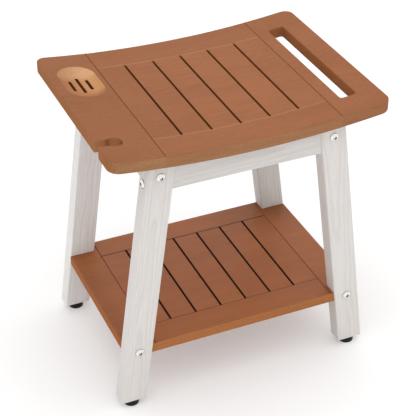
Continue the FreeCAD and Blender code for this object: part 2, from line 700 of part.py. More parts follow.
def make_shelf():
    """Notched end boards, two rails and the slats, with the dowels that join them."""
    seam = shelf_seam_x()
    half_length = leg_outer_x(SHELF_TOP)
    block = box((-half_length, -SHELF_HALF_DEPTH, SHELF_BOTTOM), (half_length, SHELF_HALF_DEPTH, SHELF_TOP))
    level = [edge for edge in block.Edges if edge.BoundBox.ZLength < SHELF_EDGE_ROUND]
    blank = block.makeFillet(SHELF_EDGE_ROUND, level)
    edges = slat_edges(seam, SHELF_SLAT_COUNT, SHELF_SLAT_GAP, SHELF_OUTER_SLAT_EXTRA)
    bevels = slat_bevels(edges, seam, SHELF_SLAT_GAP, lambda x: SHELF_TOP, SHELF_HALF_DEPTH)
    seams = bevels[:2]
    lines = shelf_dowel_lines()
    holes = dowel_holes(SHELF_DOWEL_RADIUS, lines)
    deep = SHELF_HALF_DEPTH + OVERRUN
    low = SHELF_BOTTOM - OVERRUN
    high = SHELF_TOP + OVERRUN
    parts = {}

    notch_width = LEG_WIDTH + OVERRUN + SHELF_NOTCH_CLEARANCE
    notch = leaning_bar(-OVERRUN, notch_width, -deep, -LEG_INNER_Y + SHELF_NOTCH_CLEARANCE, low, high)
    right = blank.common(box((seam, -deep, low), (half_length + OVERRUN, deep, high)))
    right = cut_all(right, seams + holes)
    for tool in (notch, SHELF_JOINT.bolt_hole, SHELF_JOINT.nut_hole):
        right = cut_all(right, [tool, tool.mirror(ORIGIN, Y_AXIS)])
    parts["shelf_end_board_right"] = right
    parts["shelf_end_board_left"] = right.mirror(ORIGIN, X_AXIS)

    reach = SHELF_RAIL_INNER_Y + TONGUE_LENGTH
    spans = tongue_spans(edges, SHELF_DOWEL_LENGTH)
    half = TONGUE_THICKNESS / 2 + TONGUE_CLEARANCE
    groove = box(
        (spans[0][0] - TONGUE_CLEARANCE, -reach - TONGUE_CLEARANCE, SHELF_MIDDLE_Z - half),
        (spans[-1][1] + TONGUE_CLEARANCE, 0, SHELF_MIDDLE_Z + half),
    )
    front = blank.common(box((-seam, -deep, low), (seam, -SHELF_RAIL_INNER_Y, high)))
    front = cut_all(front, [groove] + seams + holes)
    parts["shelf_front_rail"] = front
    parts["shelf_back_rail"] = front.mirror(ORIGIN, Y_AXIS)

    end_y = SHELF_RAIL_INNER_Y - BOARD_JOINT_GAP
    half = TONGUE_THICKNESS / 2
    for number, (slat, tongue) in enumerate(zip(edges, spans), 1):
        body = blank.common(box((slat[0], -end_y, low), (slat[1], end_y, high)))
        ends = box((tongue[0], -reach, SHELF_MIDDLE_Z - half), (tongue[1], reach, SHELF_MIDDLE_Z + half))
        parts["shelf_slat_%d" % number] = cut_all(body, bevels).fuse(ends).removeSplitter()

    parts["shelf_dowels"] = four(dowels(SHELF_DOWEL_RADIUS, lines))
    return parts


# Fasteners and feet

def make_fasteners():
    """Bolts, barrel nuts, screws and dowels of the frame, each kind as one group."""
    screws = [seat_screw(x) for x in screw_places()]
    screws += [screw.mirror(ORIGIN, Y_AXIS) for screw in screws]
    return {
        "face_bolts": four(FACE_JOINT.bolt),
        "face_barrel_nuts": four(FACE_JOINT.nut),
        "side_bolts": four(SIDE_JOINT.bolt),
        "side_barrel_nuts": four(SIDE_JOINT.nut),
        "shelf_bolts": four(SHELF_JOINT.bolt),
        "shelf_barrel_nuts": four(SHELF_JOINT.nut),
        "frame_dowels": four(dowels(FRAME_DOWEL_RADIUS, frame_dowel_lines())),
        "seat_screws": Part.makeCompound(screws),
    }


def foot_pad():
    """A stepped round pad with a pocket that holds the stud's flange."""
    profile = [
        (0, 0), (PAD_RADIUS - PAD_CHAMFER, 0), (PAD_RADIUS, PAD_CHAMFER), (PAD_RADIUS, PAD_BASE_HEIGHT),
        (PAD_TOP_RADIUS, PAD_HEIGHT - PAD_CHAMFER), (PAD_TOP_RADIUS - PAD_CHAMFER, PAD_HEIGHT), (0, PAD_HEIGHT),
    ]
    outline = [Vector(x, 0, z) for x, z in profile]
    pad = Part.Face(Part.makePolygon(outline + outline[:1])).revolve(ORIGIN, Z_AXIS, 360)
    pocket = Part.makeCylinder(
        STUD_FLANGE_RADIUS + STUD_CLEARANCE, STUD_FLANGE_HEIGHT + STUD_CLEARANCE, Z_AXIS * STUD_FLANGE_LIFT
    )
    neck = rod(STUD_RADIUS + STUD_CLEARANCE, Z_AXIS * STUD_FLANGE_LIFT, Z_AXIS * (PAD_HEIGHT + OVERRUN))
    return pad.cut(pocket.fuse(neck))


def foot_stud():
    """A round stud on a flange, up through the pad into the leg."""
    flange = Part.makeCylinder(STUD_FLANGE_RADIUS, STUD_FLANGE_HEIGHT, Z_AXIS * STUD_FLANGE_LIFT)
    return flange.fuse(rod(STUD_RADIUS, Z_AXIS * STUD_FLANGE_LIFT, Z_AXIS * (PAD_HEIGHT + STUD_REACH)))


def make_feet():
    """Four pads and studs, with the threaded inserts that the studs turn in."""
    axis = foot_axis()
    insert = rod(INSERT_RADIUS, Z_AXIS * PAD_HEIGHT, Z_AXIS * (PAD_HEIGHT + INSERT_LENGTH))
    insert = insert.cut(rod(STUD_RADIUS + STUD_CLEARANCE, ORIGIN, Z_AXIS * (PAD_HEIGHT + STUD_REACH)))
    parts = {"foot_inserts": four(insert.translated(axis))}
    for name, shape in (("foot_pad_", foot_pad()), ("foot_stud_", foot_stud())):
        for corner, placed in four_ways(shape.translated(axis)).items():
            parts[name + corner] = placed
    return parts


def main():
    """Build every piece and write one file for each."""
    limit = under_seat()
    parts = make_seat()
    parts.update(make_legs(limit))
    parts.update(make_aprons(limit))
    parts.update(make_side_rails(limit))
    parts.update(make_shelf())
    parts.update(make_fasteners())
    parts.update(make_feet())
    os.makedirs("parts", exist_ok=True)
    for name, shape in parts.items():
        shape.exportStep("parts/%s.step" % name)
        print(name, len(shape.Solids), "solid", "valid" if shape.isValid() else "INVALID", round(shape.Volume))


main()
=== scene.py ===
# %% [markdown]
# # A shower bench: stained boards, a white-washed frame and a little steel
# The bench comes in as a finished frame: every board, leg, bolt and foot is already a solid of the right
# size and in the right place. What is left is how it looks. This lesson gives each piece its finish, models
# the one shape that the frame leaves plain (the screw threads of the feet), and sets up a small studio.
# Lengths are in metres. X runs to the right, Y to the back and Z up.

# %% Load the frame
import math

import bmesh
import bpy
from mathutils import Euler, Matrix, Vector


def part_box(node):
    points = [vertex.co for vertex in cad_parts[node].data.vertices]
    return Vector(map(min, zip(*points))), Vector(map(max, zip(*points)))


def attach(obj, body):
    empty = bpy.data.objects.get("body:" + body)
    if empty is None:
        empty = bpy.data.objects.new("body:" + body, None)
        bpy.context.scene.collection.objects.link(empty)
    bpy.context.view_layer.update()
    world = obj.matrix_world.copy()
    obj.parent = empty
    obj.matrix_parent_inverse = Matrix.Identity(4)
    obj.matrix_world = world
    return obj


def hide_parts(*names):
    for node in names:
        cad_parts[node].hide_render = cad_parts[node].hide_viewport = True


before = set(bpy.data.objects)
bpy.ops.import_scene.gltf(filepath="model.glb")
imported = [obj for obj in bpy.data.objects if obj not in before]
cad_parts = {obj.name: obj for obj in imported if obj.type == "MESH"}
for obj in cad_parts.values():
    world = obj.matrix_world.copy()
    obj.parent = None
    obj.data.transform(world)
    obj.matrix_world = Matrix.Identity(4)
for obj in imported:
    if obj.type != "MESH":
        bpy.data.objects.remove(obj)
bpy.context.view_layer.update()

# %% [markdown]
# ## The camera
# A product picture is taken from some way off with a long lens, so that parallel edges stay nearly parallel.
# A camera could be given a position and three angles. Here it is placed by a direction and a distance from a
# point inside the bench. That is easier to adjust, because the bench stays in the middle of the picture.

# %% Camera
VIEW_AZIMUTH = math.radians(-23.76)
VIEW_ELEVATION = math.radians(33.91)
VIEW_DISTANCE = 1.98178
VIEW_TARGET = Vector((-0.000456, 0.000201, 0.223573))
SENSOR_WIDTH = 36.0
LENS = 110.906


def aim_camera():
    """A camera that looks at the target from the chosen side."""
    data = bpy.data.cameras.new("camera")
    data.sensor_width = SENSOR_WIDTH
    data.lens = LENS
    camera = bpy.data.objects.new("camera", data)
    bpy.context.scene.collection.objects.link(camera)
    back = Vector((
        math.sin(VIEW_AZIMUTH) * math.cos(VIEW_ELEVATION),
        -math.cos(VIEW_AZIMUTH) * math.cos(VIEW_ELEVATION),
        math.sin(VIEW_ELEVATION),
    ))
    camera.location = VIEW_TARGET + back * VIEW_DISTANCE
    camera.rotation_euler = (-back).to_track_quat("-Z", "Y").to_euler()
    bpy.context.scene.camera = camera
    return camera


camera = aim_camera()
print("camera at", [round(value, 3) for value in camera.location])

# %% [markdown]
# ## Node helpers
# Materials here are built from nodes. They could be wired by hand in the editor, but a script can be read,
# repeated and mended. A few small helpers keep it short: one makes a node and links or sets its sockets, and
# others do a sum, a soft step, an even spread of values or a blend of two colours.

# %% Node helpers
def add_node(tree, kind, inputs=None, **settings):
    """One node with its settings, and with sockets that are linked or set to a value."""
    made = tree.nodes.new("ShaderNode" + kind)
    for name, value in settings.items():
        setattr(made, name, value)
    for name, value in (inputs or {}).items():
        if isinstance(value, bpy.types.NodeSocket):
            tree.links.new(value, made.inputs[name])
        else:
            made.inputs[name].default_value = value
    return made


def calculate(tree, operation, first, second=0.0):
    """The result of one sum on two values."""
    return add_node(tree, "Math", {0: first, 1: second}, operation=operation).outputs[0]


def soft_step(tree, value, low, high):
    """0 below low, 1 above high and a soft slope between them. Turned round if low is the larger one."""
    inputs = {"Value": value, "From Min": low, "From Max": high}
    return add_node(tree, "MapRange", inputs, interpolation_type="SMOOTHSTEP").outputs[0]


def spread(tree, value, low, high, start=0.0, end=1.0):
    """A value that runs from start to end, spread evenly from low to high."""
    inputs = {"Value": value, "From Min": start, "From Max": end, "To Min": low, "To Max": high}
    return add_node(tree, "MapRange", inputs).outputs[0]


def blend(tree, factor, first, second):
    """The first colour where the factor is 0 and the second where it is 1."""
    return add_node(tree, "Mix", {0: factor, 6: first, 7: second}, data_type="RGBA").outputs[2]


def split(tree, vector):
    """The X, Y and Z of a vector."""
    return add_node(tree, "SeparateXYZ", {0: vector}).outputs


helpers = (add_node, calculate, soft_step, spread, blend, split)
print("node helpers:", [helper.__name__ for helper in helpers])

# %% [markdown]
# ## Colours and materials
# Colours could be given as the linear values that a shader works with, but few people think in those. Here
# they are written as on a paint chart, from 0 to 255, and turned into linear values. Every finish on the
# bench is one Principled shader, because that one does wood, paint, metal and plastic alike.

# %% Colours and materials
def paint(red, green, blue):
    """A colour from a paint chart as linear values."""
    def linear(value):
        share = value / 255
        return share / 12.92 if share <= 0.04045 else ((share + 0.055) / 1.055) ** 2.4
    return (linear(red), linear(green), linear(blue), 1.0)


def new_material(name, **shader_inputs):
    """A material with one Principled shader, and its node tree."""
    material = bpy.data.materials.new(name)
    material.use_nodes = True
    tree = material.node_tree
    tree.nodes.clear()
    output = tree.nodes.new("ShaderNodeOutputMaterial")
    shader = add_node(tree, "BsdfPrincipled", shader_inputs)
    tree.links.new(shader.outputs["BSDF"], output.inputs["Surface"])
    return material, tree, shader


def add_relief(tree, shader, height, strength, distance, invert=False):
    """Gives the shader's surface a shallow relief."""
    inputs = {"Height": height, "Strength": strength, "Distance": distance}
    bump = add_node(tree, "Bump", inputs, invert=invert)
    tree.links.new(bump.outputs[0], shader.inputs["Normal"])


def dress(names, material):
    """Gives a material to the frame's nodes of these names."""
    for name in names:
        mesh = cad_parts[name].data
        mesh.materials.clear()
        mesh.materials.append(material)


print("middle grey of the paint chart:", [round(value, 3) for value in paint(128, 128, 128)[:3]])

# %% [markdown]
# ## Floor
# The bench stands on a pale floor that runs back until it is lost in white. A studio would hang a curved
# sheet of paper. A large flat square under a white sky looks the same and is simpler. In the picture the
# floor is lifted towards white by a little glow, which keeps its shadow but makes it as light as on a white
# table. The glow lights nothing else, because only the camera and reflections see it.

# %% Floor
FLOOR_SIZE = 30.0
FLOOR_COLOUR = (0.95, 0.95, 0.95, 1.0)
FLOOR_LIFT = 0.25
WHITE = (1.0, 1.0, 1.0, 1.0)


def in_picture(tree):
    """1 for what the camera sees straight, in a mirror or through glass, and 0 for light."""
    path = add_node(tree, "LightPath").outputs
    seen = calculate(tree, "MAXIMUM", path["Is Camera Ray"], path["Is Glossy Ray"])
    return calculate(tree, "MAXIMUM", seen, path["Is Transmission Ray"])


def floor_paint():
    """Matt paint that is lifted towards white in the picture."""
    material = bpy.data.materials.new("floor_paint")
    material.use_nodes = True
    tree = material.node_tree
    tree.nodes.clear()
    paint_coat = add_node(tree, "BsdfDiffuse", {"Color": FLOOR_COLOUR})
    glow = add_node(tree, "Emission", {"Color": WHITE, "Strength": 1.0})
    lift = calculate(tree, "MULTIPLY", in_picture(tree), FLOOR_LIFT)
    surface = add_node(tree, "MixShader", {0: lift, 1: paint_coat.outputs[0], 2: glow.outputs[0]})
    output = tree.nodes.new("ShaderNodeOutputMaterial")
    tree.links.new(surface.outputs[0], output.inputs["Surface"])
    return material


def make_floor():
    """A large flat floor."""
    mesh = bpy.data.meshes.new("floor")
    bm = bmesh.new()
    bmesh.ops.create_grid(bm, x_segments=1, y_segments=1, size=FLOOR_SIZE / 2)
    bm.to_mesh(mesh)
    bm.free()
    floor = bpy.data.objects.new("floor", mesh)
    bpy.context.scene.collection.objects.link(floor)
    mesh.materials.append(floor_paint())


make_floor()
print("floor:", FLOOR_SIZE, "metres wide")

# %% [markdown]
# ## Sky
# Soft light comes from all sides. Several large lamps could give it, but an even sky is simpler and leaves no
# bright spots. To the camera and in reflections it is plain white, and as a light it is a little dimmer. The
# Standard view shows colours as they are, so that white stays white.

# %% Sky
SKY_LIGHT = 0.9


def make_sky():
    """An even sky, white in the picture and a little dimmer as a light."""
    world = bpy.data.worlds.new("sky")
    bpy.context.scene.world = world
    world.use_nodes = True
    tree = world.node_tree
    tree.nodes.clear()
    light = add_node(tree, "Background", {"Color": WHITE, "Strength": SKY_LIGHT})
    shown = add_node(tree, "Background", {"Color": WHITE, "Strength": 1.0})
    surface = add_node(tree, "MixShader", {0: in_picture(tree), 1: light.outputs[0], 2: shown.outputs[0]})
    output = tree.nodes.new("ShaderNodeOutputWorld")
    tree.links.new(surface.outputs[0], output.inputs["Surface"])


make_sky()
bpy.context.scene.view_settings.view_transform = "Standard"
print("sky lights with a strength of", SKY_LIGHT)

# %% [markdown]
# ## Lamp
# Under a sky alone, the shadow below the bench stays too faint. A lamp almost straight above deepens it. A
# small lamp would draw hard edges on the floor, so this one is very wide.

# %% Lamp
LAMP_STRENGTH = 1.0
LAMP_ANGLE = math.radians(80)
LAMP_TURN = Euler((math.radians(7), math.radians(2), 0))


def make_lamp():
    """One wide, far lamp, almost straight above the bench."""
    data = bpy.data.lights.new("lamp", "SUN")
    data.energy = LAMP_STRENGTH
    data.angle = LAMP_ANGLE
    lamp = bpy.data.objects.new("lamp", data)
    lamp.rotation_euler = LAMP_TURN
    bpy.context.scene.collection.objects.link(lamp)


make_lamp()
print("lamp is", round(math.degrees(LAMP_ANGLE)), "degrees wide")

# %% [markdown]
# ## Node groups and noise
# Some effects are used by many materials. They could be copied into each one, but a node group is built once,
# has named inputs and outputs, and takes its own values in each material. Most of these effects start from
# noise, which turns into streaks when it is drawn out along an axis.

# %% Node groups and noise
def new_group(name, inputs, outputs):
    """An empty node group with named sockets."""
    tree = bpy.data.node_groups.new(name, "ShaderNodeTree")
    for direction, sockets in (("INPUT", inputs), ("OUTPUT", outputs)):
        for socket, kind in sockets.items():
            tree.interface.new_socket(socket, in_out=direction, socket_type="NodeSocket" + kind)
    return tree, tree.nodes.new("NodeGroupInput").outputs, tree.nodes.new("NodeGroupOutput").inputs


def combine(tree, operation, first, second):
    """The result of one sum on two vectors."""
    return add_node(tree, "VectorMath", {0: first, 1: second}, operation=operation).outputs[0]


def stretched_noise(tree, vector, stretch, scale, detail, output="Fac"):
    """Noise that is drawn out along an axis."""
    drawn = combine(tree, "MULTIPLY", vector, stretch)
    return add_node(tree, "TexNoise", {"Vector": drawn, "Scale": scale, "Detail": detail}).outputs[output]


print("node groups so far:", len(bpy.data.node_groups))

# %% [markdown]
# ## Grain, as one shared effect
# Wood looks the way it does because a tree grows in rings and a board is a slice through them. Grain could be
# drawn flat on each face, but then faces, edges and ends wouldn't agree. This group does what the tree does:
# rings lie round a line along X and wander a little, and a board cuts through them. Fine fibres, short dark
# pores and soft clouds run along X too. Stained boards, washed legs and dowels all use it, so it is a node
# group that is built once.

# %% Grain group
RING_WANDER = 0.014
WANDER_STRETCH = (0.16, 1.0, 1.0)
WANDER_SCALE = 22.0
LATE_WOOD_START = (0.2, 0.85)
LATE_WOOD_END = (1.0, 0.88)
FIBRE_STRETCH = (0.035, 1.0, 1.0)
PORE_STRETCH = (0.1, 1.0, 1.0)
PORES_PER_FIBRE = 1.6
PORE_CUT = (0.62, 0.74)
CLOUD_STRETCH = (0.3, 1.0, 1.0)
CLOUD_SCALE = 14.0
NOISE_MIDDLE = (0.3, 0.7)
NOISE_CENTRE = (0.5, 0.5, 0.5)


def ring_shade(tree, place, spacing):
    """The late wood of the year rings, which darkens slowly and ends sharply."""
    wander = stretched_noise(tree, place, WANDER_STRETCH, WANDER_SCALE, 2.0, "Color")
    wander = combine(tree, "SUBTRACT", wander, NOISE_CENTRE)
    bent = combine(tree, "ADD", place, combine(tree, "MULTIPLY", wander, (RING_WANDER,) * 3))
    across = combine(tree, "MULTIPLY", bent, (0, 1, 1))
    radius = add_node(tree, "VectorMath", {0: across}, operation="LENGTH").outputs["Value"]
    year = calculate(tree, "FRACT", calculate(tree, "DIVIDE", radius, spacing))
    rise = soft_step(tree, year, *LATE_WOOD_START)
    return calculate(tree, "MULTIPLY", rise, soft_step(tree, year, *LATE_WOOD_END))


def build_grain():
    """A node group that puts out rings, fibres, pores and clouds for a point in the wood."""
    inputs = {"Vector": "Vector", "Ring Spacing": "Float", "Fibre Width": "Float"}
    outputs = {"Rings": "Float", "Fibres": "Float", "Pores": "Float", "Clouds": "Float"}
    tree, given, result = new_group("grain", inputs, outputs)
    place = given["Vector"]
    fibre_scale = calculate(tree, "DIVIDE", 1.0, given["Fibre Width"])
    pore_scale = calculate(tree, "MULTIPLY", fibre_scale, PORES_PER_FIBRE)
    fibres = stretched_noise(tree, place, FIBRE_STRETCH, fibre_scale, 4.0)
    pores = stretched_noise(tree, place, PORE_STRETCH, pore_scale, 1.0)
    clouds = stretched_noise(tree, place, CLOUD_STRETCH, CLOUD_SCALE, 3.0)
    tree.links.new(ring_shade(tree, place, given["Ring Spacing"]), result["Rings"])
    tree.links.new(soft_step(tree, fibres, *NOISE_MIDDLE), result["Fibres"])
    tree.links.new(soft_step(tree, pores, *PORE_CUT), result["Pores"])
    tree.links.new(soft_step(tree, clouds, *NOISE_MIDDLE), result["Clouds"])
    return tree


GRAIN = build_grain()
print("grain puts out", [item.name for item in GRAIN.interface.items_tree if item.in_out == "OUTPUT"])

# %% [markdown]
# ## Grain in its place
# Each piece is cut from its own part of a tree. A Mapping node shifts and turns the coordinates before they
# reach the group, so one group serves every piece and no two are the same slice. Object coordinates are used
# throughout, because they go on from one face of a piece to the next.

# %% Grain in its place
def object_point(tree):
    """The point that is being coloured, in the coordinates of its piece."""
    return add_node(tree, "TexCoord").outputs["Object"]


def fine_noise(tree, scale, detail):
    """Noise that is alike in all directions."""
    inputs = {"Vector": object_point(tree), "Scale": scale, "Detail": detail}
    return add_node(tree, "TexNoise", inputs).outputs["Fac"]


def grain_at(tree, place, turn, spacing, width):
    """The grain's outputs, for wood whose rings lie round a line at this place and turn."""
    shift = {"Vector": object_point(tree), "Location": place, "Rotation": turn}
    vector = add_node(tree, "Mapping", shift).outputs[0]
    inputs = {"Vector": vector, "Ring Spacing": spacing, "Fibre Width": width}
    return add_node(tree, "Group", inputs, node_tree=GRAIN).outputs


print("grain takes", [item.name for item in GRAIN.interface.items_tree if item.in_out == "INPUT"])

# %% [markdown]
# ## Stain, as a second shared effect
# The seat and the shelf are stained reddish brown and finished to a low sheen. The stain evens the wood out,
# so the grain is faint: slightly darker lines along the bench, a few pores and soft clouds. Every stained
# board could repeat these nodes. A group holds them once: it takes the stain's colour and the grain, and puts
# out the colour, the sheen and the shallow relief of the surface.

# %% Stain group
STAIN_DARK = paint(70, 34, 16)
STAIN_DEPTHS = {"Rings": 0.06, "Fibres": 0.14, "Pores": 0.2, "Clouds": 0.1}
STAIN_ROUGHNESS = (0.38, 0.5)


def build_stain():
    """A node group that lays a stain over the grain."""
    inputs = {"Colour": "Color", "Rings": "Float", "Fibres": "Float", "Pores": "Float", "Clouds": "Float"}
    outputs = {"Colour": "Color", "Roughness": "Float", "Height": "Float"}
    tree, given, result = new_group("stain", inputs, outputs)
    colour = given["Colour"]
    for name, depth in STAIN_DEPTHS.items():
        colour = blend(tree, calculate(tree, "MULTIPLY", given[name], depth), colour, STAIN_DARK)
    tree.links.new(colour, result["Colour"])
    tree.links.new(spread(tree, given["Fibres"], *STAIN_ROUGHNESS), result["Roughness"])
    tree.links.new(calculate(tree, "SUBTRACT", given["Fibres"], given["Pores"]), result["Height"])
    return tree


STAIN = build_stain()
print("stain puts out", [item.name for item in STAIN.interface.items_tree if item.in_out == "OUTPUT"])

# %% [markdown]
# ## Tones of the stain
# The shelf has a warmer, glossier stain than the seat, so each has its own set of tones: one for planed
# faces, one for sawn edges, one for end grain, darker ones for the seams and a painted shade for the gaps.
# Some boards are shifted a little darker or lighter, and the lighter middle slats of the shelf are a
# painted reflection. That could be left to chance, but chosen amounts can be matched board by board.

# %% Tones of the stain
SEAT = {
    "wood": "seat", "sheen": 0.03, "seam_width": 0.0009,
    "face": paint(160, 104, 72), "edge": paint(167, 120, 85), "end": paint(166, 111, 72),
    "gap": paint(126, 77, 35), "seam": paint(114, 68, 44),
    "hairlines": {"front": (paint(174, 127, 97), 0.0009), "back": (paint(174, 127, 97), 0.0009)},
}
SHELF = {
    "wood": "shelf", "sheen": 0.33, "seam_width": 0.0011,
    "face": paint(165, 96, 51), "edge": paint(178, 113, 64), "end": paint(172, 98, 40),
    "gap": paint(41, 18, 5), "seam": paint(122, 56, 18),
    "hairlines": {"front": (paint(110, 50, 12), 0.0011), "back": (paint(48, 22, 10), 0.0016)},
}
# Positive amounts darken a board towards STAIN_DARK and negative ones lighten it. On shelf slats 3 and 4 the
# lightening is a painted reflection.
BOARD_TONE_SHIFT = {
    "seat_end_board_left": 0.09, "seat_end_board_right": 0.02,
    "seat_front_rail": 0.03, "seat_back_rail": 0.03,
    "seat_slat_1": 0.07, "seat_slat_2": 0.02, "seat_slat_3": 0.01,
    "seat_slat_4": -0.03, "seat_slat_5": -0.03, "seat_slat_6": -0.02,
    "shelf_slat_3": -0.04, "shelf_slat_4": -0.06,
}


def face_tone(name, tones):
    """The stain on a board's faces, shifted a little darker or lighter on some boards."""
    depth = BOARD_TONE_SHIFT.get(name, 0.0)
    return tuple(light + (dark - light) * depth for light, dark in zip(tones["face"], STAIN_DARK))


print("boards shifted darker or lighter:", len(BOARD_TONE_SHIFT))

# %% [markdown]
# ## Faces, edges and ends
# Sawn edges look more yellow and speckled than planed faces, and the end grain on the left and right soaks up
# more and is darker. Each face could have a material of its own, but the frame's meshes are left alone here.
# So one material chooses the colour by where a face points, which also turns softly over rounded edges.

# %% Faces, edges and ends
FACE_TURN = (0.2, 0.95)
SPECK_SCALE = 650.0
SPECK_RANGE = (0.4, 0.7)
SPECK_DEPTH = 0.25


def faces_along(tree, axis, turn=FACE_TURN):
    """1 on faces that point either way along an axis and 0 on faces square to them."""
    normal = add_node(tree, "NewGeometry").outputs["Normal"]
    return soft_step(tree, calculate(tree, "ABSOLUTE", split(tree, normal)[axis]), *turn)


def sawn(tree, tones):
    """The colour of sawn edges and end grain, with fine specks."""
    tone = blend(tree, faces_along(tree, "X"), tones["edge"], tones["end"])
    specks = soft_step(tree, fine_noise(tree, SPECK_SCALE, 2.0), *SPECK_RANGE)
    return blend(tree, calculate(tree, "MULTIPLY", specks, SPECK_DEPTH), tone, STAIN_DARK)


print("specks on sawn wood are about", round(1000 / SPECK_SCALE, 1), "mm apart")

# %% [markdown]
# ## Seams and hairlines
# Where a slat's end meets a rail there is a hairline: pale on the seat, and dark on the shelf, most of all
# at the back. The long seams beside the end boards are dark on both. The lines could be modelled as tiny
# grooves, but at this size a thin line of colour looks the same.
# All of them lie where one piece ends and the next begins, so their places are measured from the frame.

# %% Seams and hairlines
def thin_line(tree, axis, place, width):
    """1 in a thin line across an axis, at this place."""
    value = split(tree, object_point(tree))[axis]
    distance = calculate(tree, "ABSOLUTE", calculate(tree, "SUBTRACT", value, place))
    return soft_step(tree, distance, width, width / 3)


def draw_hairlines(tree, colour, tones):
    """The colour with a hairline where the slats of the seat or the shelf meet each rail."""
    places = {
        "front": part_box(tones["wood"] + "_front_rail")[1].y,
        "back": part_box(tones["wood"] + "_back_rail")[0].y,
    }
    for side, place in places.items():
        line, width = tones["hairlines"][side]
        colour = blend(tree, thin_line(tree, "Y", place, width), colour, line)
    return colour


def seams(tree, tones):
    """1 beside the end boards of the seat or the shelf, on level faces."""
    ends = [end.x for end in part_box(tones["wood"] + "_front_rail")]
    lines = [thin_line(tree, "X", end, tones["seam_width"]) for end in ends]
    return calculate(tree, "MULTIPLY", calculate(tree, "MAXIMUM", *lines), faces_along(tree, "Z"))


print("widths of the shelf's hairlines:", [width for line, width in SHELF["hairlines"].values()])

# %% [markdown]
# ## Painted shade on the shelf
# The shelf gets painted shade in its back right corner and along its left side, over several boards at once.
# Each board could be given a darker end, but the patches would then break at the gaps. Masks that fade along
# X and Y run on across all boards, because the boards share one set of coordinates.

# %% Painted shade on the shelf
# Painted shade: both patches blend the stain towards STAIN_DARK where the shelf lies in shade.
CORNER_SHADE = {"depth": 0.42, "fades": {"X": (0.0, 0.18), "Y": (0.02, 0.125)}}
LEFT_SIDE_SHADE = {"depth": 0.17, "fades": {"X": (-0.156, -0.186)}}


def paint_shade_on_shelf(tree, colour):
    """The colour with painted shade in the shelf's back right corner and along its left side."""
    place = split(tree, object_point(tree))
    for patch in (CORNER_SHADE, LEFT_SIDE_SHADE):
        depth = patch["depth"]
        for axis, fade in patch["fades"].items():
            depth = calculate(tree, "MULTIPLY", soft_step(tree, place[axis], *fade), depth)
        colour = blend(tree, depth, colour, STAIN_DARK)
    return colour


print("deepest painted shade in the corner:", CORNER_SHADE["depth"])

# %% [markdown]
# ## One stained board
# A board's finish is now put together: its tones, its own slice of the grain, the stain over both, the seams
# and a sheen that sawn edges lack. Every board could be listed with its own slice. A number for each board,
# run through a few waves, spreads the slices just as well. The upright faces of a slat line the narrow gaps,
# so they are painted with the dark tone of the gaps, a painted shade.

# %% One stained board
STAIN_RING_SPACING = 0.006
STAIN_FIBRE_WIDTH = 0.0011
STAIN_RELIEF = (0.25, 0.0002)
PITH_DEPTH = 0.5
PITH_STEP = 0.021
PITH_SWAY = 0.05
BOARD_STEP = 0.31
BOARD_TILT = 0.006
BOARD_SKEW = 0.012


def board_grain(tree, number):
    """Grain along X for the board of this number, each one cut from another place in the tree."""
    depth = PITH_DEPTH + PITH_STEP * (number % 4)
    place = (BOARD_STEP * number, PITH_SWAY * math.sin(2.1 * number), -depth)
    turn = (0.0, BOARD_TILT * math.cos(1.7 * number), BOARD_SKEW * math.sin(1.3 * number))
    return grain_at(tree, place, turn, STAIN_RING_SPACING, STAIN_FIBRE_WIDTH)


def lay_stain(tree, shader, colour, grain, tones, with_hairlines=False):
    """Links a stain of this colour to the shader, with its seams, relief and a sheen that sawn edges lack."""
    inputs = {"Colour": colour, **{name: grain[name] for name in STAIN_DEPTHS}}
    stain = add_node(tree, "Group", inputs, node_tree=STAIN).outputs
    shown = stain["Colour"]
    if with_hairlines:
        shown = draw_hairlines(tree, shown, tones)
    tree.links.new(blend(tree, seams(tree, tones), shown, tones["seam"]), shader.inputs["Base Color"])
    upright = calculate(tree, "SUBTRACT", 1.0, faces_along(tree, "Z"))
    roughness = calculate(tree, "MAXIMUM", stain["Roughness"], upright)
    tree.links.new(roughness, shader.inputs["Roughness"])
    add_relief(tree, shader, stain["Height"], *STAIN_RELIEF)


def stain_board(name, tones, number):
    """The finish of one board. The upright faces of a slat line the gaps and take their painted shade."""
    material, tree, shader = new_material("stain_" + name, **{"Specular IOR Level": tones["sheen"]})
    # Painted shade: the upright faces of a slat take the dark tone of the gaps.
    sides = tones["gap"] if "slat" in name else sawn(tree, tones)
    face = face_tone(name, tones)
    if tones is SHELF:
        face = paint_shade_on_shelf(tree, face)
    colour = blend(tree, faces_along(tree, "Z"), sides, face)
    lay_stain(tree, shader, colour, board_grain(tree, number), tones, "end_board" not in name)
    dress([name], material)


print("rings of stained wood are", STAIN_RING_SPACING * 1000, "mm apart")

# %% [markdown]
# ## Rails, slats and the shelf's end boards
# The seat and the shelf are built alike: two rails, slats between them and an end board on each side. The
# names of the slats are taken from the frame, so a loop finishes as many as there are. The seat's end boards
# have openings and a soap dish, so they are left for the next steps, and the first two numbers are theirs.

# %% Rails, slats and the shelf's end boards
LEFT_END_NUMBER = 0
RIGHT_END_NUMBER = 1
FIRST_RAIL = 2


def stain_all(tones, first_number):
    """Stains the rails and slats of the seat or the shelf, and counts them."""
    wood = tones["wood"]
    names = [wood + "_front_rail", wood + "_back_rail"]
    names += sorted(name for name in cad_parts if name.startswith(wood + "_slat_"))
    for number, name in enumerate(names, first_number):
        stain_board(name, tones, number)
    return len(names)


seat_count = stain_all(SEAT, FIRST_RAIL)
shelf_count = stain_all(SHELF, FIRST_RAIL + seat_count)
for number, side in enumerate(("left", "right"), FIRST_RAIL + seat_count + shelf_count):
    stain_board("shelf_end_board_" + side, SHELF, number)
print("rails and slats of the seat:", seat_count, "and of the shelf:", shelf_count)

